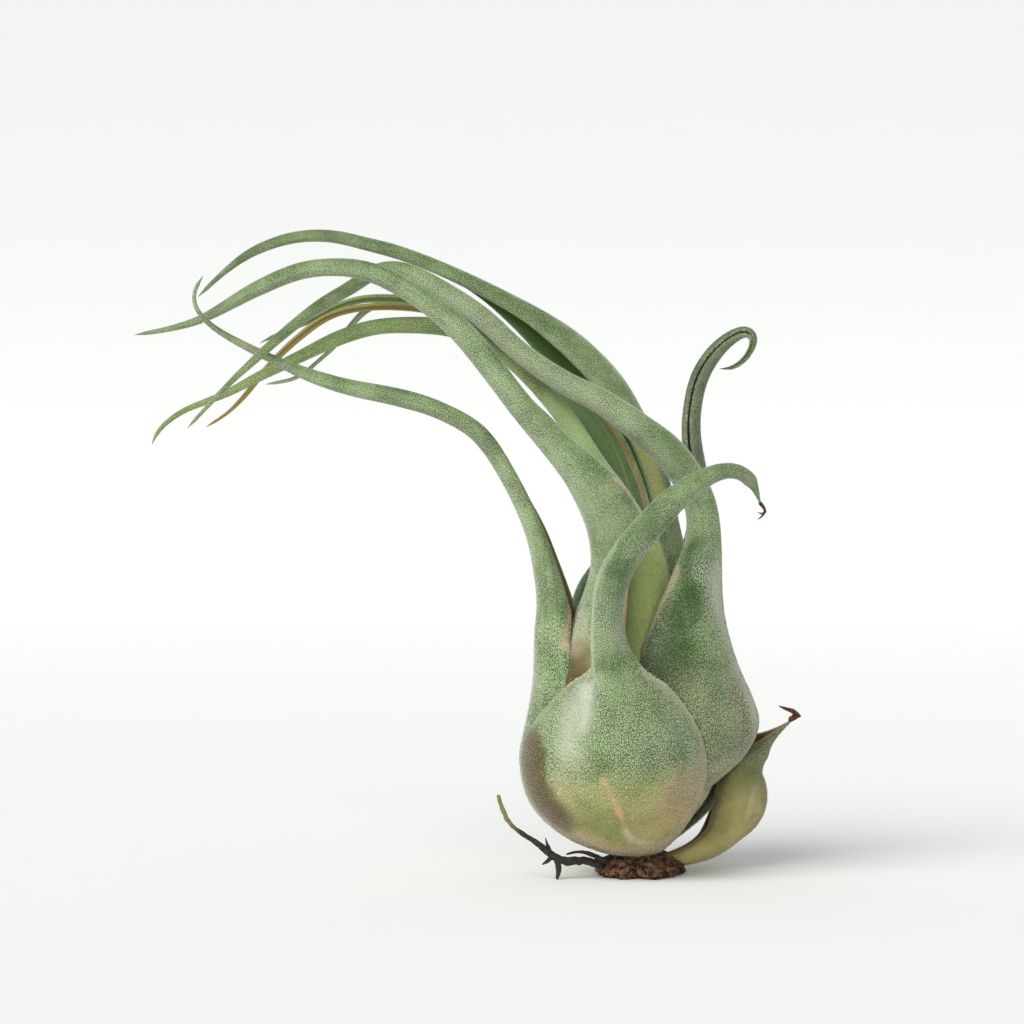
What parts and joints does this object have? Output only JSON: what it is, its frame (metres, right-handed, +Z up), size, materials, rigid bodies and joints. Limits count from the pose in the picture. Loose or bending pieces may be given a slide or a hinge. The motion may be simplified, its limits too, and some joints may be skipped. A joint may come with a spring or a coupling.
{
  "type": "air plant",
  "caption": "Bulbous air plant with clasping inflated sheaths and long rolled leaves that sweep to one side, standing on its woody rootstock.",
  "frame": {"origin": "middle of the rootstock's flat underside, on the surface that the plant stands on", "axes": "+Z up, -Y to the front, towards the viewer of the picture, +X to the viewer's right; the leaves sweep to -X"},
  "size_m": [0.1325, 0.0526, 0.1297],
  "materials": {
    "leaf": "silvery green leaf, felted with fine whitish scales, matt",
    "rootstock": "dark brown crumbling bark and dried sheaths, matt",
    "root": "wiry dark root, olive towards its free end, matt"
  },
  "bodies": {
    "root": {"rootstock": "rootstock", "root_long": "root", "root_short": "root", "leaf_front": "leaf", "leaf_short": "leaf", "leaf_right": "leaf", "leaf_left": "leaf", "leaf_back_right": "leaf", "leaf_back_left": "leaf", "leaf_middle": "leaf", "leaf_top": "leaf", "leaf_inner_low": "leaf", "leaf_inner_mid": "leaf", "leaf_inner_high": "leaf"}
  },
  "joints": []
}
